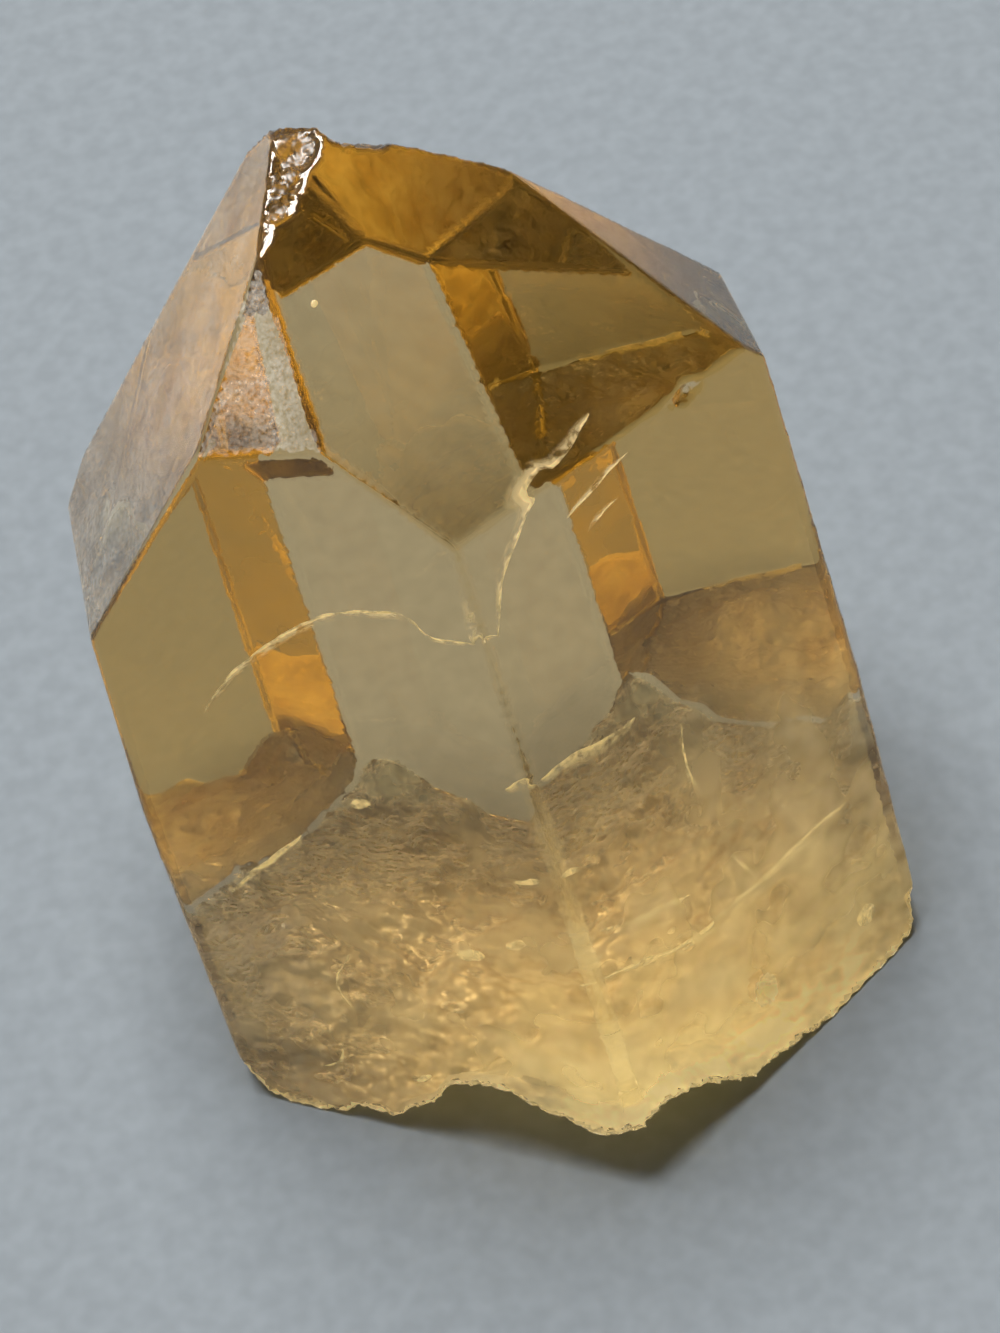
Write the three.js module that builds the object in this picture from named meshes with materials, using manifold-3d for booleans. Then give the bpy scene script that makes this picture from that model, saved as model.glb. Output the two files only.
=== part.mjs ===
// A raw citrine: one short, stout quartz crystal, standing on the slanting break at its foot.
// Millimetres. The crystal is shaped with its long axis along Z and its point up, and is set
// down on its break at the end, which leans the point back, away from the front edge.
import * as THREE from 'three';
import { ConvexGeometry } from 'three/addons/geometries/ConvexGeometry.js';
import { mergeVertices } from 'three/addons/utils/BufferGeometryUtils.js';
import Module from 'manifold-3d';

// Quartz has these angles in every crystal: prism faces stand every 60 degrees around the
// long axis, and the normal of each point face leans from the axis by the same amount.
const POINT_SLOPE = THREE.MathUtils.degToRad(51.79);
const FACE_STEP = THREE.MathUtils.degToRad(60);

// How far each prism face is from the long axis, and how high the plane of the point face
// above it crosses the long axis. Sides are named as seen with the front edge to the viewer.
const SIDES = {
  frontRight: { step: 0, prism: 13.97, point: 24.18 },
  right: { step: 1, prism: 16.84, point: 26.05 },
  backRight: { step: 2, prism: 13.53, point: 18.2 },
  backLeft: { step: 3, prism: 13.97, point: 21.57 },
  left: { step: 4, prism: 16.94, point: 22.7 },
  frontLeft: { step: 5, prism: 13.51, point: 28.65 },
};
const FRONT_EDGE_STEP = -0.5;

// Two prism faces draw in towards the point: from what height, and by how many degrees.
const SHOULDERS = [
  { step: 1, foot: -12.5, lean: 1.9 },
  { step: 4, foot: -8, lean: 3.9 },
];

// The break. The crystal stands on the plane with this level on the long axis and these slopes
// along X and Y. The broken surface is flat where it stands and lifts off the plane elsewhere.
const STAND_LEVEL = -24.0;
const STAND_SLOPE = { x: -0.4, y: 0.15 };
const BREAK_CELL = 0.62;
const BREAK_LIFT = 0.5;
const BREAK_MARGIN = 4;
const BLANK_END = -34;
const HOLLOWS = [
  { x: 11.0, y: -8.0, height: 4.0, reach: 8.0 },
  { x: 8.2, y: -11.0, height: 4.0, reach: 4.6 },
  { x: 5.0, y: -13.0, height: 1.4, reach: 2.4 },
  { x: 1.7, y: -14.8, height: 0.9, reach: 1.5 },
  { x: 3.0, y: -2.5, height: 1.3, reach: 6.2 },
  { x: 3.6, y: 8.2, height: 1.1, reach: 5.8 },
  { x: -6.4, y: -6.6, height: 1.2, reach: 5.0 },
  { x: 0.6, y: 15.0, height: 1.5, reach: 2.6 },
  { x: 9.6, y: 12.8, height: 2.0, reach: 3.4 },
  { x: -12.4, y: 8.6, height: 1.6, reach: 2.2 },
];
const KNOBS = [
  { x: 11.9, y: -8.9, height: 2.6, reach: 2.1 },
  { x: 13.2, y: 6.4, height: 1.9, reach: 3.0 },
  { x: -1.0, y: -15.6, height: 1.8, reach: 1.9 },
  { x: -11.4, y: 0.6, height: 2.2, reach: 3.0 },
  { x: -6.4, y: 10.6, height: 2.0, reach: 2.2 },
];
const RIPPLES = [
  { length: 4.2, height: 0.7 },
  { length: 1.9, height: 0.45 },
  { length: 1.1, height: 0.2 },
];

// Bites out of corners and edges: middle and half sizes of each rough egg that is taken away.
const TIP_BITES = [
  { at: [1.6, -2.4, 22.3], size: [2.6, 1.8, 1.7] },
  { at: [3.9, -2.7, 22.8], size: [3.2, 3.2, 3.2] },
  { at: [4.3, -3.9, 21.6], size: [2.5, 2.5, 2.5] },
  { at: [4.6, -5.0, 20.5], size: [1.9, 1.9, 1.9] },
  { at: [4.8, -6.1, 19.7], size: [1.3, 1.3, 1.3] },
  { at: [2.8, 1.5, 21.7], size: [2.8, 2.8, 2.8] },
];
const EDGE_BITES = [
  { at: [-4.7, -19.7, -28.0], size: [3.5, 3.4, 7.0] },
  { at: [14.6, 13.4, -28.4], size: [2.9, 2.8, 4.6] },
  { at: [-3.3, -17.8, 2.3], size: [0.8, 0.9, 0.8] },
  { at: [7.6, -11.7, 11.7], size: [0.6, 0.5, 0.5] },
  { at: [-13.3, -7.7, 6.9], size: [0.9, 0.9, 0.9] },
  { at: [14.4, 5.6, 6.2], size: [0.7, 1.6, 0.6] },
  { at: [14.4, 1.3, -24.6], size: [0.8, 0.8, 1.3] },
];
const BITE_DETAIL = 8;
const BITE_ROUGHNESS = [
  { length: 1.3, height: 0.24 },
  { length: 0.6, height: 0.12 },
];

/** Outward normal of the prism face that many steps round the long axis. */
function prismNormal(step) {
  return new THREE.Vector3(Math.cos(step * FACE_STEP), Math.sin(step * FACE_STEP), 0);
}

/** Outward normal of the point face above that prism face. */
function pointNormal(step) {
  return prismNormal(step).multiplyScalar(Math.sin(POINT_SLOPE)).setZ(Math.cos(POINT_SLOPE));
}

/** The planes of the whole, unbroken crystal, with their normals outward. */
function crystalPlanes() {
  const planes = [new THREE.Plane(new THREE.Vector3(0, 0, -1), BLANK_END)];
  for (const side of Object.values(SIDES)) {
    planes.push(new THREE.Plane(prismNormal(side.step), -side.prism));
    planes.push(new THREE.Plane(pointNormal(side.step), -side.point * Math.cos(POINT_SLOPE)));
  }
  for (const shoulder of SHOULDERS) {
    const side = Object.values(SIDES).find((each) => each.step === shoulder.step);
    const lean = THREE.MathUtils.degToRad(shoulder.lean);
    const normal = prismNormal(shoulder.step).multiplyScalar(Math.cos(lean)).setZ(Math.sin(lean));
    const foot = prismNormal(shoulder.step).multiplyScalar(side.prism).setZ(shoulder.foot);
    planes.push(new THREE.Plane().setFromNormalAndCoplanarPoint(normal, foot));
  }
  return planes;
}

/** The point where three planes meet, or null where they have none. */
function meetingPoint(a, b, c) {
  const rows = new THREE.Matrix3().set(...a.normal, ...b.normal, ...c.normal);
  if (Math.abs(rows.determinant()) < 1e-6) {
    return null;
  }
  return new THREE.Vector3(-a.constant, -b.constant, -c.constant).applyMatrix3(rows.invert());
}

/** The unbroken crystal: the convex body of the corners that lie behind every plane. */
function crystalGeometry() {
  const planes = crystalPlanes();
  const corners = [];
  for (let i = 0; i < planes.length; i += 1) {
    for (let j = i + 1; j < planes.length; j += 1) {
      for (let k = j + 1; k < planes.length; k += 1) {
        const corner = meetingPoint(planes[i], planes[j], planes[k]);
        if (corner && planes.every((plane) => plane.distanceToPoint(corner) < 1e-6)) {
          corners.push(corner);
        }
      }
    }
  }
  return new ConvexGeometry(corners);
}

/** A repeatable number from 0 to 1 for a point of a whole-number lattice. */
function latticeValue(i, j, k) {
  const wave = Math.sin(i * 12.9898 + j * 78.233 + k * 37.719) * 43758.5453;
  return wave - Math.floor(wave);
}

/** Smooth noise from -1 to 1 between the lattice points. */
function smoothNoise(x, y, z) {
  const cell = [x, y, z].map(Math.floor);
  const ease = [x, y, z].map((value, axis) => THREE.MathUtils.smoothstep(value - cell[axis], 0, 1));
  let sum = 0;
  for (let corner = 0; corner < 8; corner += 1) {
    const offset = [corner & 1, (corner >> 1) & 1, corner >> 2];
    const share = offset.reduce((part, on, axis) => part * (on ? ease[axis] : 1 - ease[axis]), 1);
    sum += share * latticeValue(cell[0] + offset[0], cell[1] + offset[1], cell[2] + offset[2]);
  }
  return 2 * sum - 1;
}

/** How far the broken surface lifts off the plane that the crystal stands on. */
function breakLift(x, y) {
  let lift = BREAK_LIFT;
  for (const hollow of HOLLOWS) {
    const gap = Math.hypot(x - hollow.x, y - hollow.y) / hollow.reach;
    lift = Math.max(lift, BREAK_LIFT + hollow.height * (1 - gap * gap));
  }
  for (const knob of KNOBS) {
    const gap = Math.hypot(x - knob.x, y - knob.y) / knob.reach;
    lift -= knob.height * Math.exp(-gap * gap);
  }
  for (const ripple of RIPPLES) {
    lift += ripple.height * smoothNoise(x / ripple.length, y / ripple.length, ripple.length);
  }
  return Math.max(lift, 0);
}

/** The body below the break, which is taken away from the crystal. */
function breakGeometry() {
  const widest = Math.max(...Object.values(SIDES).map((side) => side.prism));
  const reach = 2 * (widest + BREAK_MARGIN);
  const cells = Math.round(reach / BREAK_CELL);
  const block = new THREE.BoxGeometry(reach, reach, 1, cells, cells, 1);
  const place = block.attributes.position;
  for (let i = 0; i < place.count; i += 1) {
    const x = place.getX(i);
    const y = place.getY(i);
    const stand = STAND_LEVEL + STAND_SLOPE.x * x + STAND_SLOPE.y * y;
    place.setZ(i, place.getZ(i) > 0 ? stand + breakLift(x, y) : BLANK_END - BREAK_MARGIN);
  }
  return block;
}

/** A rough egg, for a bite out of an edge or a corner. */
function biteGeometry(bite) {
  const egg = new THREE.IcosahedronGeometry(1, BITE_DETAIL);
  const place = egg.attributes.position;
  const middle = new THREE.Vector3(...bite.at);
  const halfSize = new THREE.Vector3(...bite.size);
  const point = new THREE.Vector3();
  for (let i = 0; i < place.count; i += 1) {
    const outward = point.fromBufferAttribute(place, i).clone();
    point.multiply(halfSize).add(middle);
    let swell = 0;
    for (const wave of BITE_ROUGHNESS) {
      const spot = point.clone().divideScalar(wave.length);
      swell += wave.height * smoothNoise(spot.x, spot.y, spot.z);
    }
    point.addScaledVector(outward, swell);
    place.setXYZ(i, point.x, point.y, point.z);
  }
  return egg;
}

const wasm = await Module();
wasm.setup();

/** A closed geometry as a solid that can be joined and cut. */
function solidOf(geometry) {
  const bare = geometry.clone();
  bare.deleteAttribute('normal');
  bare.deleteAttribute('uv');
  const merged = mergeVertices(bare, 1e-5);
  const vertProperties = new Float32Array(merged.attributes.position.array);
  const triVerts = new Uint32Array(merged.index.array);
  return new wasm.Manifold(new wasm.Mesh({ numProp: 3, vertProperties, triVerts }));
}

/** A solid's triangles as a geometry with flat shading. */
function geometryOf(solid) {
  const mesh = solid.getMesh();
  const shared = new THREE.BufferGeometry();
  shared.setAttribute('position', new THREE.BufferAttribute(mesh.vertProperties, 3));
  shared.setIndex(new THREE.BufferAttribute(mesh.triVerts, 1));
  const geometry = shared.toNonIndexed();
  geometry.computeVertexNormals();
  return geometry;
}

/** The whole citrine: the crystal with its break and its bitten edges. */
function citrineGeometry() {
  let stone = solidOf(crystalGeometry()).subtract(solidOf(breakGeometry()));
  for (const bite of [...TIP_BITES, ...EDGE_BITES]) {
    stone = stone.subtract(solidOf(biteGeometry(bite)));
  }
  return geometryOf(stone);
}

/** The turn that stands the crystal on its break, with its front edge towards -Y. */
function standingTurn() {
  const up = new THREE.Vector3(-STAND_SLOPE.x, -STAND_SLOPE.y, 1).normalize();
  const back = prismNormal(FRONT_EDGE_STEP).projectOnPlane(up).normalize().negate();
  const across = new THREE.Vector3().crossVectors(back, up);
  return new THREE.Matrix4().makeBasis(across, back, up).transpose();
}

const citrine = new THREE.Mesh(
  citrineGeometry(),
  new THREE.MeshStandardMaterial({ color: 0xc8a862, roughness: 0.12, metalness: 0 }),
);
citrine.name = 'citrine_crystal';
citrine.quaternion.setFromRotationMatrix(standingTurn());
citrine.updateMatrixWorld();
const box = new THREE.Box3().setFromObject(citrine, true);
const middle = box.getCenter(new THREE.Vector3());
citrine.position.set(-middle.x, -middle.y, -box.min.z);

const rawCitrine = new THREE.Group();
rawCitrine.name = 'raw_citrine';
rawCitrine.add(citrine);

export default rawCitrine;
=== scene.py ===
import math

import bpy
import numpy as np
from mathutils import Matrix, Vector, noise


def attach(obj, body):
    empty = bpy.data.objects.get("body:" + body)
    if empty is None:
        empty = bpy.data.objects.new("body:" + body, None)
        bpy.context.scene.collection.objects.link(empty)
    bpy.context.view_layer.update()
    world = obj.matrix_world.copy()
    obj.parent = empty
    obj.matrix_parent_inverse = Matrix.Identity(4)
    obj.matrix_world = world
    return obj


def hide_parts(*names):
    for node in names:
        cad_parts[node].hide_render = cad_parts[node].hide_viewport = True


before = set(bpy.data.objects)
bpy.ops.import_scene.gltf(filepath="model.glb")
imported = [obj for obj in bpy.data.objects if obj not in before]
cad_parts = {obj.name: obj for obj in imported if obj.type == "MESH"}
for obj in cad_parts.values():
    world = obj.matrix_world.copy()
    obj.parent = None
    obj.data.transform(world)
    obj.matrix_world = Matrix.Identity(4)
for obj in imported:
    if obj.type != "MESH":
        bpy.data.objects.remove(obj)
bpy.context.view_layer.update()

bl_info = {
    "name": "Raw citrine",
    "version": (1, 0, 0),
    "blender": (4, 5, 0),
    "location": "3D View > Sidebar > Citrine",
    "description": "Looks of a raw citrine crystal: clear stone, rough break, inner flaws and stage",
    "category": "Object",
}

NODE = "citrine_crystal"
MM = 0.001

# The stone's surface. A point that is this near a crystal face is laid flat on it, where no other
# face of another direction is near. What lies deeper than BREAK_START looks broken, fully so after
# BREAK_FADE more, and the break's underside counts as base up to BASE_TOP.
SNAP = 0.13 * MM
EDGE_ROOM = 0.3 * MM
BREAK_START = 0.12 * MM
BREAK_FADE = 0.2 * MM
BASE_TOP = 12 * MM
GRAIN_SIZE = 0.9 * MM
FACES_DOWN = 0.1
LEAST_FACE_AREA = 15 * MM * MM
SAME_FACE = 0.9995
SAME_DIRECTION = 0.99

# Veils: how far each lies outside (or, below zero, inside) the surface, and where it ends. A point
# whose broken value is under UNBROKEN belongs to a crystal face.
# The rim veil paints a highlight along the base's rim.
RIM_SHIFT = -0.06 * MM
RIM_TOP = 9 * MM
RIM_MARKS = (0.02, 0.98)
FROST_SHIFT = 0.02 * MM
CLOUD_BOTTOM = 2 * MM
FRONT_FACING = -0.6
BASE_MARK = 0.05
UNBROKEN = 0.1

# Inner flaws: step along a film's line in millimetres, rows across a film, the ripple of its
# surface, how much it narrows at its ends, and how far a fleck is tipped, in degrees.
LINE_STEP = 0.35
FILM_ROWS = 4
FILM_RIPPLE = 0.06 * MM
FILM_TAPER = 0.85
FLECK_RIPPLE = 0.07 * MM
FLECK_TIP = 35

# Spots per metre of the patterns.
FILM_SPOTS = 1100.0
FLECK_SPOTS = 1600.0
RIM_SPOTS = 900.0
VEIL_SPOTS = 420.0
CLOUD_SPOTS = 280.0
FROST_SPOTS = 4600.0
PIT_SPOTS = 1600.0
PAPER_SPOTS = 900.0

# Strength of the painted glow that the flaws give off, though they are no lamp; it stands in for light
# gathered inside the stone.
FILM_GLOW = 0.55
FLECK_GLOW = 0.5
RIM_GLOW = 0.6
VEIL_GLOW = 1.0
CLOUD_GLOW = 0.75

# The camera that was fitted to the photograph's edges: place in millimetres, right and up.
CAMERA_PLACE = (-8.181, -101.717, 161.382)
CAMERA_RIGHT = (0.96574623, -0.23631755, -0.10720386)
CAMERA_UP = (0.25500008, 0.78769051, 0.56082463)
WINDOW_PLACE = (-0.12, 0.61, 1.36)
WINDOW_SIZE = 0.8
BRIGHT_SIDE = (-0.65, 0.55, 0.4)
FLOOR_SIZE = 3.0
FLOOR_LEVEL = -0.05 * MM
# Blender takes noise_vector's offsets from the clock unless they are seeded.
NOISE_SEED = 7

# Inner fractures. Each is a thin film: the line that its near edge follows, and how far the film
# goes back into the stone from that line, in millimetres. Share is how much of the film shows.
FRACTURES = {
    "long_fracture": {
        "line": [(-12.8, -2.0, 21.1), (-11.0, -2.1, 23.7), (-9.4, -2.5, 25.4), (-7.2, -3.1, 27.2),
                 (-5.8, -3.6, 28.0), (-3.4, -5.0, 28.5), (-2.3, -5.9, 27.7), (-0.6, -7.0, 27.7)],
        "back": (0.33, 0.64, -1.17), "share": 0.62},
    "long_fracture_top": {
        "line": [(-0.6, -7.0, 27.7), (0.3, -5.3, 29.7), (2.7, -2.9, 31.7), (4.0, -2.3, 31.3),
                 (5.9, -0.2, 31.5)],
        "back": (-0.56, 1.05, -0.51), "share": 0.72},
    "streak_upper": {
        "line": [(3.8, -3.9, 30.4), (5.4, -2.9, 30.6), (7.1, -1.6, 30.8)],
        "back": (-0.3, 0.89, -0.46), "share": 0.7},
    "streak_lower": {
        "line": [(4.5, -3.9, 29.0), (5.3, -3.3, 29.3), (6.2, -2.7, 29.3)],
        "back": (-0.28, 0.85, -0.5), "share": 0.65},
    "golden_veil": {
        "line": [(-0.5, -9.0, 19.6), (1.1, -8.1, 19.4), (2.6, -7.4, 18.9), (4.5, -6.4, 18.5)],
        "back": (-0.15, -0.16, -0.95), "share": 0.72},
    "hook": {
        "line": [(6.9, -7.4, 17.8), (6.8, -7.9, 16.9), (6.9, -8.6, 15.3), (7.4, -9.1, 13.7)],
        "back": (-0.45, 0.62, -0.71), "share": 0.5},
    "healed_fracture": {
        "line": [(0.5, -14.5, 10.0), (2.5, -13.8, 9.3), (5.1, -12.7, 8.1), (7.4, -11.3, 7.9),
                 (9.1, -10.3, 7.7), (11.6, -8.8, 7.7), (14.3, -7.2, 7.5)],
        "back": (-0.09, 0.6, -1.64), "share": 0.6},
    "healed_branch": {
        "line": [(9.1, -10.3, 7.7), (8.5, -10.1, 9.0), (8.1, -9.9, 10.0)],
        "back": (-0.41, 0.53, -0.8), "share": 0.45},
    "wisp": {
        "line": [(0.8, -13.0, 11.8), (2.8, -12.2, 10.8), (5.4, -11.1, 9.6)],
        "back": (-0.24, -0.1, -0.8), "share": 0.55},
    "left_band": {
        "line": [(-13.8, -4.5, 10.2), (-12.0, -4.8, 12.3), (-9.9, -5.3, 14.5)],
        "back": (0.76, 0.52, -1.59), "share": 0.42},
    "arc": {
        "line": [(-9.4, -8.9, 8.6), (-10.3, -9.0, 7.0), (-10.3, -9.3, 5.9), (-9.9, -9.9, 5.2)],
        "back": (0.59, 0.56, -0.71), "share": 0.6},
    "rim_glint": {
        "line": [(-12.2, -10.8, 1.9), (-11.5, -11.0, 2.4), (-11.1, -10.9, 3.4)],
        "back": (0.38, 0.16, -0.59), "share": 0.7},
}

# Faces with a natural frost: a name, the way the face looks and how much of it is frosted.
FROSTED = [
    ("frost_left", (-0.83, 0.22, 0.52), 0.12),
    ("frost_small", (-0.44, -0.40, 0.81), 0.15),
]

# Small bright flecks, whose glow is a painted glint: middle and half size in millimetres, and a turn in
# degrees about Y.
FLECKS = {
    "fleck_long": ((-0.3, -10.7, 14.3), (0.75, 0.16, 0.05), 4),
    "fleck_left": ((-3.6, -10.6, 9.2), (0.75, 0.32, 0.05), 12),
    "fleck_middle": ((-1.5, -11.4, 10.4), (0.5, 0.25, 0.05), -8),
    "fleck_edge": ((0.4, -13.6, 10.5), (0.3, 0.1, 0.05), -30),
    "fleck_high": ((-6.8, -5.8, 16.7), (0.5, 0.25, 0.05), 0),
    "fleck_tip": ((-4.5, 4.7, 37.4), (0.16, 0.16, 0.05), 0),
    "fleck_rim": ((-7.7, -13.3, 2.6), (0.45, 0.16, 0.05), -20),
    "fleck_corner": ((14.4, -10.6, 2.0), (0.7, 0.5, 0.08), -30),
}


class StoneSettings(bpy.types.PropertyGroup):
    """Sizes and colours of the crystal itself"""

    cell: bpy.props.FloatProperty(
        name="Surface cell", description="Spacing of the finer surface",
        default=0.00027, unit="LENGTH")
    colour: bpy.props.FloatVectorProperty(
        name="Body colour", description="Colour that passes through the stone",
        default=(0.925, 0.79, 0.35), subtype="COLOR", min=0, max=1)
    density: bpy.props.FloatProperty(
        name="Colour density", description="Absorption for each metre of stone", default=46.0)
    skin: bpy.props.FloatVectorProperty(
        name="Face tint", description="Tint of light that crosses a crystal face",
        default=(1.0, 0.875, 0.78), subtype="COLOR", min=0, max=1)
    stain: bpy.props.FloatVectorProperty(
        name="Break colour", description="Warm tint of the broken surfaces",
        default=(1.0, 0.86, 0.56), subtype="COLOR", min=0, max=1)
    broken: bpy.props.FloatProperty(
        name="Broken roughness", description="Roughness of the base", default=0.62)
    chipped: bpy.props.FloatProperty(
        name="Chip roughness", description="Roughness of the chips on edges", default=0.34)
    grain: bpy.props.FloatProperty(
        name="Break grain", description="Height of the fine grain on broken surfaces",
        default=0.00022, unit="LENGTH")


class FlawSettings(bpy.types.PropertyGroup):
    """Colour and size of the inner fractures and flecks"""

    colour: bpy.props.FloatVectorProperty(
        name="Film colour", description="Pale colour of the inner fractures",
        default=(1.0, 0.96, 0.84), subtype="COLOR", min=0, max=1)
    # Painted glow: the golden colour that the flaws give off, though they are no lamp, standing in for
    # light gathered inside the stone; the milky clouds also take it as their deeper tone.
    painted_glow_and_cloud_tone: bpy.props.FloatVectorProperty(
        name="Sparkle colour",
        description="Light that fractures gather inside the stone and throw back",
        default=(1.0, 0.8, 0.3), subtype="COLOR", min=0, max=1)
    frost: bpy.props.FloatVectorProperty(
        name="Frost colour", description="Pale colour of the natural frost on the faces",
        default=(0.9, 0.87, 0.78), subtype="COLOR", min=0, max=1)
    thickness: bpy.props.FloatProperty(
        name="Film thickness", description="Thickness of a fracture film",
        default=0.00002, unit="LENGTH")
    wander: bpy.props.FloatProperty(
        name="Wander", description="How far a fracture strays from its line",
        default=0.00012, unit="LENGTH")
    veil_depth: bpy.props.FloatProperty(
        name="Veil depth", description="How far the milky veil lies inside the break",
        default=0.0002, unit="LENGTH")
    cloud: bpy.props.FloatProperty(
        name="Cloud", description="How much the milky clouds hide where they are densest", default=0.62)
    cloud_depth: bpy.props.FloatProperty(
        name="Cloud depth", description="How far the milky clouds lie behind the front faces",
        default=0.0012, unit="LENGTH")
    cloud_top: bpy.props.FloatProperty(
        name="Cloud top", description="Height at which the milky clouds end",
        default=0.026, unit="LENGTH")


class StageSettings(bpy.types.PropertyGroup):
    """Floor, light and camera"""

    floor: bpy.props.FloatVectorProperty(
        name="Floor colour", description="Pale floor under the stone",
        default=(0.19, 0.214, 0.234), subtype="COLOR", min=0, max=1)
    sky: bpy.props.FloatProperty(
        name="Room light", description="Strength of the even light", default=0.135)
    window: bpy.props.FloatProperty(
        name="Window light", description="Power of the soft back light in watts", default=45.0)
    lens: bpy.props.FloatProperty(name="Lens", description="Focal length in millimetres", default=101.9)


def only(obj):
    """Selects one object and makes it active."""
    bpy.ops.object.select_all(action="DESELECT")
    obj.select_set(True)
    bpy.context.view_layer.objects.active = obj


def settle(piece, *replaced):
    """Gives a finished piece its body."""
    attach(piece, "root")
    if replaced:
        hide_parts(*replaced)


def bake_place(piece):
    """Puts the piece's place, turn and size into its mesh, so that it sits at the origin."""
    only(piece)
    bpy.ops.object.transform_apply(location=True, rotation=True, scale=True)


def crystal_planes(obj):
    """The large flat faces of the CAD node, as pairs of an outward normal and a distance."""
    bin_size = 0.1 * MM
    groups = {}
    for face in obj.data.polygons:
        distance = face.normal.dot(face.center)
        key = tuple(round(c, 2) for c in face.normal) + (round(distance / bin_size),)
        group = groups.setdefault(key, [0.0, Vector(), 0.0])
        group[0] += face.area
        group[1] += face.normal * face.area
        group[2] += distance * face.area
    planes = []
    for area, normal, distance in sorted(groups.values(), key=lambda group: -group[0]):
        normal, distance = normal.normalized(), distance / area
        known = any(normal.dot(other) > SAME_FACE and abs(distance - gap) < 2 * bin_size
                    for other, gap in planes)
        underside = normal.z < -SAME_DIRECTION
        if area > LEAST_FACE_AREA and not underside and not known:
            planes.append((normal, distance))
    return planes


def new_group(name, inputs, outputs):
    """An empty shader node group with its sockets."""
    group = bpy.data.node_groups.new(name, "ShaderNodeTree")
    for kind, label, default in inputs:
        socket = group.interface.new_socket(label, in_out="INPUT", socket_type=kind)
        socket.default_value = default
    for kind, label in outputs:
        group.interface.new_socket(label, in_out="OUTPUT", socket_type=kind)
    return group, group.nodes.new("NodeGroupInput"), group.nodes.new("NodeGroupOutput")


def node(tree, kind, **values):
    """A node with its plain settings."""
    made = tree.nodes.new(kind)
    for key, value in values.items():
        setattr(made, key, value)
    return made


def noise_value(tree, vector, scale, detail=2.0, rough=0.55):
    """A noise texture in object metres."""
    made = tree.nodes.new("ShaderNodeTexNoise")
    made.inputs["Scale"].default_value = scale
    made.inputs["Detail"].default_value = detail
    made.inputs["Roughness"].default_value = rough
    tree.links.new(vector, made.inputs["Vector"])
    return made.outputs["Fac"]


def ramp(tree, value, start, end, low=0.0, high=1.0):
    """A clamped straight ramp of a value."""
    made = tree.nodes.new("ShaderNodeMapRange")
    made.inputs["From Min"].default_value = start
    made.inputs["From Max"].default_value = end
    made.inputs["To Min"].default_value = low
    made.inputs["To Max"].default_value = high
    tree.links.new(value, made.inputs["Value"])
    return made.outputs["Result"]


def combine(tree, operation, first, second):
    """Arithmetic on two values, each of them a socket or a number."""
    made = tree.nodes.new("ShaderNodeMath")
    made.operation = operation
    for index, value in enumerate((first, second)):
        if isinstance(value, (int, float)):
            made.inputs[index].default_value = value
        else:
            tree.links.new(value, made.inputs[index])
    return made.outputs["Value"]


def blend(tree, factor, first, second, kind="FLOAT"):
    """A mix of two values or colours, each of them a socket or a plain value."""
    made = node(tree, "ShaderNodeMix", data_type=kind)
    tree.links.new(factor, made.inputs["Factor"])
    slots = (2, 3) if kind == "FLOAT" else (6, 7)
    for slot, value in zip(slots, (first, second)):
        if isinstance(value, bpy.types.NodeSocket):
            tree.links.new(value, made.inputs[slot])
        else:
            made.inputs[slot].default_value = value
    return made.outputs[0 if kind == "FLOAT" else 2]


def bump(tree, height, strength, distance, before=None):
    """A bump from a height, on top of an earlier normal."""
    made = node(tree, "ShaderNodeBump")
    made.inputs["Distance"].default_value = distance
    tree.links.new(height, made.inputs["Height"])
    if isinstance(strength, (int, float)):
        made.inputs["Strength"].default_value = strength
    else:
        tree.links.new(strength, made.inputs["Strength"])
    if before is not None:
        tree.links.new(before, made.inputs["Normal"])
    return made.outputs["Normal"]


def natural_finish():
    """Group: fine pits on broken parts, as roughness and normal."""
    group, start, end = new_group(
        "natural_finish",
        [("NodeSocketVector", "Place", (0, 0, 0)), ("NodeSocketFloat", "Broken", 0.0),
         ("NodeSocketFloat", "Broken Roughness", 0.5)],
        [("NodeSocketFloat", "Roughness"), ("NodeSocketVector", "Normal")])
    place = start.outputs["Place"]
    pits = noise_value(group, place, PIT_SPOTS, 1.0, 0.65)
    break_rough = combine(group, "MULTIPLY", start.outputs["Broken Roughness"],
                          ramp(group, pits, 0.3, 0.7, 0.65, 1.3))
    group.links.new(combine(group, "MULTIPLY", start.outputs["Broken"], break_rough),
                    end.inputs["Roughness"])
    rough = bump(group, pits, start.outputs["Broken"], 0.0003)
    group.links.new(rough, end.inputs["Normal"])
    return group


def new_material(name):
    """A node material with its main shader and its output."""
    material = bpy.data.materials.new(name)
    material.use_nodes = True
    tree = material.node_tree
    return material, tree, tree.nodes["Principled BSDF"], tree.nodes["Material Output"]


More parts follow.
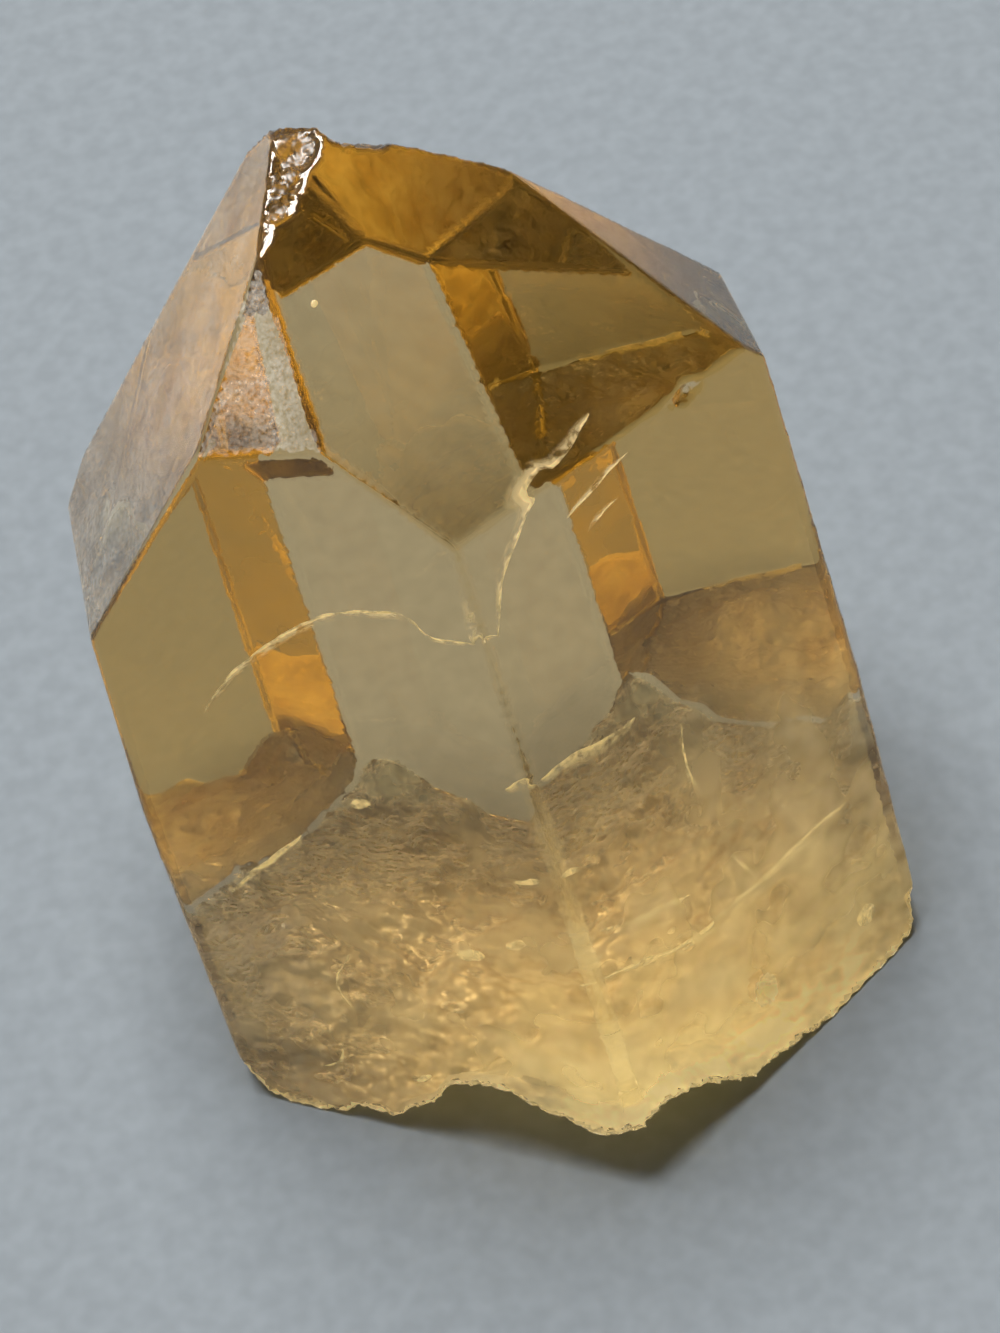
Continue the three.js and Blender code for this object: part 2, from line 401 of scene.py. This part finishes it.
def citrine_material(settings):
    """Clear citrine: plain transmission, quartz's refraction and plain absorption."""
    material, tree, shader, output = new_material("citrine_stone")
    shader.inputs["Transmission Weight"].default_value = 1.0
    shader.inputs["IOR"].default_value = 1.547
    shader.distribution = "GGX"
    place = node(tree, "ShaderNodeTexCoord").outputs["Object"]
    broken = node(tree, "ShaderNodeAttribute", attribute_name="broken").outputs["Fac"]
    base = node(tree, "ShaderNodeAttribute", attribute_name="base").outputs["Fac"]
    finish = node(tree, "ShaderNodeGroup", node_tree=natural_finish())
    tree.links.new(place, finish.inputs["Place"])
    tree.links.new(broken, finish.inputs["Broken"])
    roughness = blend(tree, base, settings.chipped, settings.broken)
    tree.links.new(roughness, finish.inputs["Broken Roughness"])
    tree.links.new(finish.outputs["Roughness"], shader.inputs["Roughness"])
    tree.links.new(finish.outputs["Normal"], shader.inputs["Normal"])
    stain = blend(tree, base, (*settings.skin, 1.0), (*settings.stain, 1.0), "RGBA")
    tree.links.new(stain, shader.inputs["Base Color"])
    absorb = node(tree, "ShaderNodeVolumeAbsorption")
    absorb.inputs["Color"].default_value = (*settings.colour, 1.0)
    absorb.inputs["Density"].default_value = settings.density
    tree.links.new(absorb.outputs["Volume"], output.inputs["Volume"])
    return material


def let_through(tree, shader, output, mask, colour):
    """Shows the shader only where the mask is, and lets as much light shine through it."""
    tree.links.new(mask, shader.inputs["Alpha"])
    glow = node(tree, "ShaderNodeBsdfTranslucent")
    tree.links.new(colour, glow.inputs["Color"])
    patchy = node(tree, "ShaderNodeMixShader")
    tree.links.new(mask, patchy.inputs[0])
    tree.links.new(node(tree, "ShaderNodeBsdfTransparent").outputs[0], patchy.inputs[1])
    tree.links.new(glow.outputs[0], patchy.inputs[2])
    both = node(tree, "ShaderNodeMixShader")
    tree.links.new(shader.outputs[0], both.inputs[1])
    tree.links.new(patchy.outputs[0], both.inputs[2])
    tree.links.new(both.outputs[0], output.inputs["Surface"])


def film_material(name, settings, share, spots, glow):
    """A thin broken film inside the stone: pale, patchy and partly see-through, with a painted golden
    glow.
    """
    material, tree, shader, output = new_material(name)
    place = node(tree, "ShaderNodeTexCoord").outputs["Object"]
    depth = node(tree, "ShaderNodeAttribute", attribute_name="depth").outputs["Fac"]
    patches = noise_value(tree, place, spots, 2.0, 0.65)
    tone = ramp(tree, noise_value(tree, place, 2.3 * spots, 0.0), 0.35, 0.65)
    colour = blend(tree, tone, (*[0.86 * c for c in settings.colour], 1.0),
                   (*settings.colour, 1.0), "RGBA")
    tree.links.new(colour, shader.inputs["Base Color"])
    fade = ramp(tree, depth, 0.2, 1.0, 0.6, 0.0)
    shown = ramp(tree, patches, 0.66 - 0.4 * share, 0.8 - 0.4 * share)
    edge = ramp(tree, depth, 0.22, 0.38, 1.0, 0.0)
    crisp = combine(tree, "MULTIPLY", edge, ramp(tree, patches, 0.38, 0.56, 0.12, 1.0))
    mask = combine(tree, "MAXIMUM", crisp, combine(tree, "MULTIPLY", shown, fade))
    let_through(tree, shader, output, mask, colour)
    # Painted glow: the film gives off golden light of the given strength, though it is no lamp.
    shader.inputs["Emission Color"].default_value = (*settings.painted_glow_and_cloud_tone, 1.0)
    shader.inputs["Emission Strength"].default_value = glow
    shader.inputs["Roughness"].default_value = 0.3
    return material


def veil_material(name, settings):
    """Milky microfractures inside the break: a pale patchy haze, densest at the front rim, where its
    paler tone and golden glow are painted rim light.
    """
    material, tree, shader, output = new_material(name)
    place = node(tree, "ShaderNodeTexCoord").outputs["Object"]
    patches = noise_value(tree, place, VEIL_SPOTS, 2.0, 0.6)
    apart = node(tree, "ShaderNodeSeparateXYZ")
    tree.links.new(place, apart.inputs["Vector"])
    # Thicker towards the front rim and to the right; the extra thickness at the front rim is partly
    # painted rim light.
    front = ramp(tree, apart.outputs["Y"], -0.014, 0.006, 1.0, 0.3)
    right = ramp(tree, apart.outputs["X"], -0.014, 0.002, 0.45, 1.0)
    shown = ramp(tree, patches, 0.3, 0.6, 0.5, 1.0)
    # Paler in random patches, and paler towards the front rim as painted rim light.
    pale = combine(tree, "MAXIMUM", ramp(tree, patches, 0.38, 0.62),
                   ramp(tree, apart.outputs["Y"], -0.017, -0.010, 1.0, 0.0))
    tone = blend(tree, pale, (0.82, 0.62, 0.34, 1.0), (*settings.colour, 1.0), "RGBA")
    tree.links.new(tone, shader.inputs["Base Color"])
    # Painted rim glow: golden light given off at the front rim, weaker to the left.
    rim = combine(tree, "MULTIPLY", ramp(tree, apart.outputs["Y"], -0.018, -0.002, 1.0, 0.0),
                  ramp(tree, apart.outputs["X"], -0.013, 0.0, 0.25, 1.0))
    tree.links.new(blend(tree, rim, (0.0, 0.0, 0.0, 1.0), (*settings.painted_glow_and_cloud_tone, 1.0), "RGBA"),
                   shader.inputs["Emission Color"])
    shader.inputs["Emission Strength"].default_value = VEIL_GLOW
    let_through(tree, shader, output,
                combine(tree, "MULTIPLY", shown, combine(tree, "MULTIPLY", front, right)), tone)
    shader.inputs["Roughness"].default_value = 0.6
    return material


def cloud_material(name, settings):
    """Milky clouds behind the two front faces, densest low down and to the right, with a painted golden
    glow.
    """
    material, tree, shader, output = new_material(name)
    place = node(tree, "ShaderNodeTexCoord").outputs["Object"]
    clouds = ramp(tree, noise_value(tree, place, CLOUD_SPOTS, 2.0, 0.6), 0.35, 0.68, 0.35, 1.0)
    apart = node(tree, "ShaderNodeSeparateXYZ")
    tree.links.new(place, apart.inputs["Vector"])
    top = settings.cloud_top
    low = combine(tree, "MULTIPLY", ramp(tree, apart.outputs["Z"], CLOUD_BOTTOM, 2 * CLOUD_BOTTOM),
                  ramp(tree, apart.outputs["Z"], 0.9 * top, 0.25 * top))
    right = ramp(tree, apart.outputs["X"], -0.013, 0.003, 0.3, 1.0)
    mask = combine(tree, "MULTIPLY", combine(tree, "MULTIPLY", clouds, low),
                   combine(tree, "MULTIPLY", right, settings.cloud))
    tone = blend(tree, clouds, (*settings.painted_glow_and_cloud_tone, 1.0), (*settings.colour, 1.0), "RGBA")
    tree.links.new(tone, shader.inputs["Base Color"])
    # Painted glow: the clouds give off golden light where they show, though they are no lamp.
    shader.inputs["Emission Color"].default_value = (*settings.painted_glow_and_cloud_tone, 1.0)
    shader.inputs["Emission Strength"].default_value = CLOUD_GLOW
    shader.inputs["Roughness"].default_value = 0.7
    let_through(tree, shader, output, mask, tone)
    return material


def frost_material(name, settings, share):
    """Fine natural frost on a face: grainy, pale and mostly see-through."""
    material, tree, shader, _ = new_material(name)
    place = node(tree, "ShaderNodeTexCoord").outputs["Object"]
    grain = ramp(tree, noise_value(tree, place, FROST_SPOTS, 1.0, 0.7), 0.2, 0.75)
    cloud = ramp(tree, noise_value(tree, place, 450.0, 1.0), 0.3, 0.7, 0.6, 1.2)
    shown = combine(tree, "MULTIPLY", combine(tree, "MULTIPLY", grain, cloud), 2.0 * share)
    tree.links.new(shown, shader.inputs["Alpha"])
    darker = [0.85 * c for c in settings.frost]
    tone = blend(tree, cloud, (*darker, 1.0), (*settings.frost, 1.0), "RGBA")
    tree.links.new(tone, shader.inputs["Base Color"])
    shader.inputs["Roughness"].default_value = 0.7
    return material


def smooth_line(points, step):
    """A smooth line through the points, in metres, with about that step in millimetres."""
    given = [Vector(p) for p in points]
    padded = [2 * given[0] - given[1]] + given + [2 * given[-1] - given[-2]]
    line = []
    for a, b, c, d in zip(padded, padded[1:], padded[2:], padded[3:]):
        parts = max(1, round((c - b).length / step))
        for i in range(parts):
            t = i / parts
            line.append(0.5 * (2 * b + (c - a) * t + (2 * a - 5 * b + 4 * c - d) * t * t
                               + (3 * b - a - 3 * c + d) * t ** 3) * MM)
    line.append(given[-1] * MM)
    return line


class CITRINE_OT_stone(bpy.types.Operator):
    """Builds the clear crystal with its softened edges and its rough break"""

    bl_idname = "citrine.stone"
    bl_label = "Build the crystal"

    def execute(self, context):
        settings = context.scene.citrine_stone
        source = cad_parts[NODE]
        stone = bpy.data.objects.new("citrine_stone", source.data.copy())
        context.scene.collection.objects.link(stone)
        only(stone)
        bpy.ops.object.mode_set(mode="EDIT")
        bpy.ops.mesh.select_all(action="SELECT")
        bpy.ops.mesh.remove_doubles(threshold=0.000002)
        bpy.ops.object.mode_set(mode="OBJECT")
        finer = stone.modifiers.new("finer", "REMESH")
        finer.mode = "VOXEL"
        finer.voxel_size = settings.cell
        bpy.ops.object.modifier_apply(modifier=finer.name)
        self.mark_broken(stone, crystal_planes(source), settings)
        bpy.ops.object.shade_smooth()
        stone.data.materials.clear()
        stone.data.materials.append(citrine_material(settings))
        settle(stone, NODE)
        return {"FINISHED"}

    def read(self, mesh, key):
        """A value of every vertex, as rows of three."""
        values = np.empty(len(mesh.vertices) * 3)
        mesh.vertices.foreach_get(key, values)
        return values.reshape(-1, 3)

    def mark_broken(self, stone, planes, settings):
        """Marks all that lies off the crystal faces, and gives it a grain."""
        mesh = stone.data
        place, turn = (self.read(mesh, key) for key in ("co", "normal"))
        normals = np.array([list(normal) for normal, _ in planes])
        gaps = np.array([distance for _, distance in planes]) - place @ normals.T
        nearest = gaps.argmin(axis=1)
        depth = gaps.min(axis=1)
        alike = normals @ normals.T > SAME_DIRECTION
        second = np.where(alike[nearest], np.inf, gaps).min(axis=1)
        flat = (np.abs(depth) < SNAP) & (second > EDGE_ROOM)
        place[flat] += gaps[flat, nearest[flat], None] * normals[nearest[flat]]
        broken = np.clip((depth - BREAK_START) / BREAK_FADE, 0.0, 1.0)
        lift = np.array([noise.fractal(Vector(point) / GRAIN_SIZE, 0.8, 2.0, 4) if mark > 0 else 0.0
                         for point, mark in zip(place, broken)])
        base = np.where(turn[:, 2] < FACES_DOWN, 1.0, 0.0) * (place[:, 2] < BASE_TOP)
        place += turn * (lift * broken * settings.grain)[:, None]
        place[:, 2] = np.maximum(place[:, 2], 0.0)
        mesh.vertices.foreach_set("co", place.ravel())
        for name, values in (("broken", broken), ("base", base * broken)):
            attribute = mesh.attributes.new(name, "FLOAT", "POINT")
            attribute.data.foreach_set("value", values.astype(np.float32))
        mesh.update()


class CITRINE_OT_fractures(bpy.types.Operator):
    """Builds the thin fracture films inside the stone"""

    bl_idname = "citrine.fractures"
    bl_label = "Build the inner fractures"

    def execute(self, context):
        settings = context.scene.citrine_flaws
        for name, flaw in FRACTURES.items():
            film = self.sweep(name, flaw, settings)
            material = film_material(name, settings, flaw["share"], FILM_SPOTS, FILM_GLOW)
            film.data.materials.append(material)
            settle(film)
        return {"FINISHED"}

    def sweep(self, name, flaw, settings):
        """A strip that is extruded along the line, then widened back into the stone."""
        line = smooth_line(flaw["line"], LINE_STEP)
        stray = [noise.noise_vector(point / (1.6 * MM)) * settings.wander for point in line]
        line = [point + shift for point, shift in zip(line, stray)]
        back = Vector(flaw["back"]) * MM
        bpy.ops.object.select_all(action="DESELECT")
        bpy.ops.mesh.primitive_plane_add(size=1.0, location=(0, 0, 0))
        film = bpy.context.object
        film.name = name
        bpy.ops.object.mode_set(mode="EDIT")
        bpy.ops.mesh.select_mode(type="VERT")
        bpy.ops.mesh.select_all(action="SELECT")
        bpy.ops.mesh.merge(type="CENTER")
        bpy.ops.transform.translate(value=line[0])
        for before, after in zip(line, line[1:]):
            bpy.ops.mesh.extrude_region_move(TRANSFORM_OT_translate={"value": after - before})
        bpy.ops.mesh.select_all(action="SELECT")
        for _ in range(FILM_ROWS):
            bpy.ops.mesh.extrude_region_move(TRANSFORM_OT_translate={"value": back / FILM_ROWS})
        bpy.ops.mesh.select_all(action="SELECT")
        bpy.ops.mesh.normals_make_consistent(inside=False)
        bpy.ops.object.mode_set(mode="OBJECT")
        if len(film.data.polygons) != FILM_ROWS * (len(line) - 1):
            raise RuntimeError(f"{name} has {len(film.data.polygons)} faces")
        self.mark_depth(film, line, back)
        solid = film.modifiers.new("film", "SOLIDIFY")
        solid.thickness = settings.thickness
        solid.offset = 0.0
        bpy.ops.object.modifier_apply(modifier=solid.name)
        bpy.ops.object.shade_smooth()
        return film

    def mark_depth(self, film, line, back):
        """Notes how far back each point is, narrows the film towards its ends and ripples it."""
        starts = np.array([list(point) for point in line])
        along = np.array(list(back.normalized()))
        values = []
        for vertex in film.data.vertices:
            place = np.array(vertex.co)
            gaps = place - starts
            side = gaps - np.outer(gaps @ along, along)
            nearest = int(np.argmin((side ** 2).sum(1)))
            depth = float(gaps[nearest] @ along)
            values.append(depth / back.length)
            middle = max(0.0, math.sin(math.pi * nearest / (len(starts) - 1))) ** 0.6
            vertex.co -= back.normalized() * depth * FILM_TAPER * (1.0 - middle)
            vertex.co += noise.noise_vector(vertex.co / (0.7 * MM)) * FILM_RIPPLE
        attribute = film.data.attributes.new("depth", "FLOAT", "POINT")
        attribute.data.foreach_set("value", values)


class CITRINE_OT_veils(bpy.types.Operator):
    """Builds the milky veils inside the break and the front faces, the painted highlight along the base
    rim, and the frost on two faces
    """

    bl_idname = "citrine.veils"
    bl_label = "Build the veils"

    def execute(self, context):
        settings = context.scene.citrine_flaws
        stone = bpy.data.objects["citrine_stone"]
        base = stone.data.attributes["base"].data
        broken = stone.data.attributes["broken"].data
        self.patch(stone, "base_veil", -settings.veil_depth, veil_material("base_veil", settings),
                   lambda face: all(base[i].value > BASE_MARK for i in face.vertices))
        # The rim veil is a pale film just inside the base's rim, with a glow; it paints the highlight
        # along the rim.
        self.patch(stone, "rim_painted_highlight", RIM_SHIFT,
                   film_material("rim_painted_highlight", settings, 0.95, RIM_SPOTS, RIM_GLOW),
                   lambda face: face.center.z < RIM_TOP and face.center.y < 0.0
                   and any(RIM_MARKS[0] < broken[i].value < RIM_MARKS[1] for i in face.vertices))
        self.patch(stone, "milky_cloud", -settings.cloud_depth, cloud_material("milky_cloud", settings),
                   lambda face: face.normal.y < FRONT_FACING
                   and CLOUD_BOTTOM < face.center.z < settings.cloud_top
                   and all(broken[i].value < UNBROKEN for i in face.vertices)
                   and self.deep_enough(stone, face, settings.cloud_depth))
        for name, facing, share in FROSTED:
            facing = Vector(facing).normalized()
            self.patch(stone, name, FROST_SHIFT, frost_material(name, settings, share),
                       lambda face: face.normal.dot(facing) > SAME_DIRECTION
                       and all(broken[i].value < UNBROKEN for i in face.vertices))
        return {"FINISHED"}

    def deep_enough(self, stone, face, depth):
        """Whether the stone goes on well behind that depth under a face."""
        start = face.center - face.normal * 0.05 * MM
        return not stone.ray_cast(start, -face.normal, distance=1.5 * depth)[0]

    def patch(self, stone, name, shift, material, wanted):
        """A copy of part of the stone's surface, moved in or out along its normals."""
        unwanted = [not wanted(face) for face in stone.data.polygons]
        veil = bpy.data.objects.new(name, stone.data.copy())
        bpy.context.scene.collection.objects.link(veil)
        only(veil)
        bpy.ops.object.mode_set(mode="EDIT")
        bpy.ops.mesh.select_mode(type="FACE")
        bpy.ops.mesh.select_all(action="DESELECT")
        bpy.ops.object.mode_set(mode="OBJECT")
        veil.data.polygons.foreach_set("select", unwanted)
        bpy.ops.object.mode_set(mode="EDIT")
        bpy.ops.mesh.delete(type="FACE")
        bpy.ops.mesh.select_all(action="SELECT")
        bpy.ops.transform.shrink_fatten(value=shift)
        bpy.ops.object.mode_set(mode="OBJECT")
        veil.data.materials.clear()
        veil.data.materials.append(material)
        settle(veil)


class CITRINE_OT_flecks(bpy.types.Operator):
    """Builds the small bright flecks inside the stone, whose glow is a painted glint"""

    bl_idname = "citrine.flecks"
    bl_label = "Build the bright flecks"

    def execute(self, context):
        settings = context.scene.citrine_flaws
        material = film_material("fleck_painted_glint", settings, 0.85, FLECK_SPOTS, FLECK_GLOW)
        for name, (middle, half_size, turn) in FLECKS.items():
            bpy.ops.object.select_all(action="DESELECT")
            bpy.ops.mesh.primitive_ico_sphere_add(
                subdivisions=4, radius=1.0, location=Vector(middle) * MM)
            fleck = bpy.context.object
            fleck.name = name
            fleck.scale = Vector(half_size) * MM
            fleck.rotation_euler = (math.radians(FLECK_TIP), math.radians(turn), 0)
            bake_place(fleck)
            for vertex in fleck.data.vertices:
                vertex.co += noise.noise_vector(vertex.co / (0.35 * MM)) * FLECK_RIPPLE
            attribute = fleck.data.attributes.new("depth", "FLOAT", "POINT")
            attribute.data.foreach_set("value", [0.0] * len(fleck.data.vertices))
            bpy.ops.object.shade_smooth()
            fleck.data.materials.append(material)
            settle(fleck)
        return {"FINISHED"}


class CITRINE_OT_stage(bpy.types.Operator):
    """Sets up the floor, the soft light and the camera"""

    bl_idname = "citrine.stage"
    bl_label = "Set up the stage"

    def execute(self, context):
        settings = context.scene.citrine_stage
        self.floor(settings)
        self.light(context.scene, settings)
        self.camera(context.scene, settings)
        self.colour(context.scene)
        return {"FINISHED"}

    def floor(self, settings):
        """A plain pale floor."""
        bpy.ops.object.select_all(action="DESELECT")
        bpy.ops.mesh.primitive_plane_add(size=FLOOR_SIZE, location=(0, 0, FLOOR_LEVEL))
        floor = bpy.context.object
        floor.name = "floor"
        material, tree, shader, _ = new_material("floor_paper")
        place = node(tree, "ShaderNodeTexCoord").outputs["Object"]
        mottle = ramp(tree, noise_value(tree, place, PAPER_SPOTS, 1.0), 0.3, 0.7)
        tint = blend(tree, mottle, (*[0.93 * c for c in settings.floor], 1.0),
                     (*[min(1.0, 1.05 * c) for c in settings.floor], 1.0), "RGBA")
        tree.links.new(tint, shader.inputs["Base Color"])
        shader.inputs["Roughness"].default_value = 0.9
        shader.inputs["Specular IOR Level"].default_value = 0.2
        floor.data.materials.append(material)

    def light(self, scene, settings):
        """Even room light, and a large soft window behind the stone."""
        world = bpy.data.worlds.new("soft_room")
        world.use_nodes = True
        back = world.node_tree.nodes["Background"]
        back.inputs["Color"].default_value = (0.95, 0.965, 1.0, 1.0)
        tree = world.node_tree
        side = node(tree, "ShaderNodeVectorMath", operation="DOT_PRODUCT")
        tree.links.new(node(tree, "ShaderNodeTexCoord").outputs["Generated"], side.inputs[0])
        side.inputs[1].default_value = BRIGHT_SIDE
        dim, bright = 0.05 * settings.sky, 2.4 * settings.sky
        strength = ramp(tree, side.outputs["Value"], -0.15, 0.9, dim, bright)
        tree.links.new(strength, back.inputs["Strength"])
        scene.world = world
        lamp = bpy.data.lights.new("window_light", "AREA")
        lamp.shape = "SQUARE"
        lamp.size = WINDOW_SIZE
        lamp.energy = settings.window
        lamp.color = (1.0, 0.985, 0.96)
        window = bpy.data.objects.new("window_light", lamp)
        scene.collection.objects.link(window)
        window.location = WINDOW_PLACE
        window.rotation_euler = (-window.location).to_track_quat("-Z", "Y").to_euler()

    def camera(self, scene, settings):
        """The photograph's view, from above and in front, a little rolled."""
        lens = bpy.data.cameras.new("camera")
        lens.lens = settings.lens
        lens.sensor_fit = "AUTO"
        lens.sensor_width = 36.0
        lens.clip_start = 0.01
        lens.dof.use_dof = False
        camera = bpy.data.objects.new("camera", lens)
        scene.collection.objects.link(camera)
        right = Vector(CAMERA_RIGHT).normalized()
        towards = right.cross(Vector(CAMERA_UP)).normalized()
        turn = Matrix((right, towards.cross(right), towards)).transposed()
        place = Vector(CAMERA_PLACE) * MM
        camera.matrix_world = Matrix.Translation(place) @ turn.to_4x4()
        scene.camera = camera

    def colour(self, scene):
        """Plain colours, and enough bounces for light to cross the stone several times."""
        scene.view_settings.view_transform = "Standard"
        scene.view_settings.look = "None"
        scene.cycles.max_bounces = 6
        scene.cycles.transmission_bounces = 6
        scene.cycles.glossy_bounces = 5
        scene.cycles.diffuse_bounces = 1
        scene.cycles.transparent_max_bounces = 8
        scene.cycles.volume_bounces = 0
        scene.cycles.caustics_refractive = True
        scene.cycles.caustics_reflective = False
        scene.cycles.sample_clamp_indirect = 24.0
        scene.cycles.use_denoising = True
        scene.cycles.use_adaptive_sampling = True
        scene.cycles.adaptive_threshold = 0.2


class CITRINE_PT_panel(bpy.types.Panel):
    """The citrine's settings in the sidebar"""

    bl_idname = "CITRINE_PT_panel"
    bl_label = "Raw citrine"
    bl_space_type = "VIEW_3D"
    bl_region_type = "UI"
    bl_category = "Citrine"

    def draw(self, context):
        for name, kind in SETTINGS.items():
            for key in kind.__annotations__:
                self.layout.prop(getattr(context.scene, name), key)
        for operator in OPERATORS:
            self.layout.operator(operator.bl_idname)


SETTINGS = {
    "citrine_stone": StoneSettings,
    "citrine_flaws": FlawSettings,
    "citrine_stage": StageSettings,
}
OPERATORS = (
    CITRINE_OT_stone,
    CITRINE_OT_veils,
    CITRINE_OT_fractures,
    CITRINE_OT_flecks,
    CITRINE_OT_stage,
)
CLASSES = (*SETTINGS.values(), *OPERATORS, CITRINE_PT_panel)


def register():
    for cls in CLASSES:
        bpy.utils.register_class(cls)
    for name, kind in SETTINGS.items():
        setattr(bpy.types.Scene, name, bpy.props.PointerProperty(type=kind))


def unregister():
    for name in SETTINGS:
        delattr(bpy.types.Scene, name)
    for cls in reversed(CLASSES):
        bpy.utils.unregister_class(cls)


def main():
    """Builds everything."""
    noise.seed_set(NOISE_SEED)
    register()
    bpy.ops.citrine.stone()
    bpy.ops.citrine.veils()
    bpy.ops.citrine.fractures()
    bpy.ops.citrine.flecks()
    bpy.ops.citrine.stage()


if __name__ == "__main__":
    main()
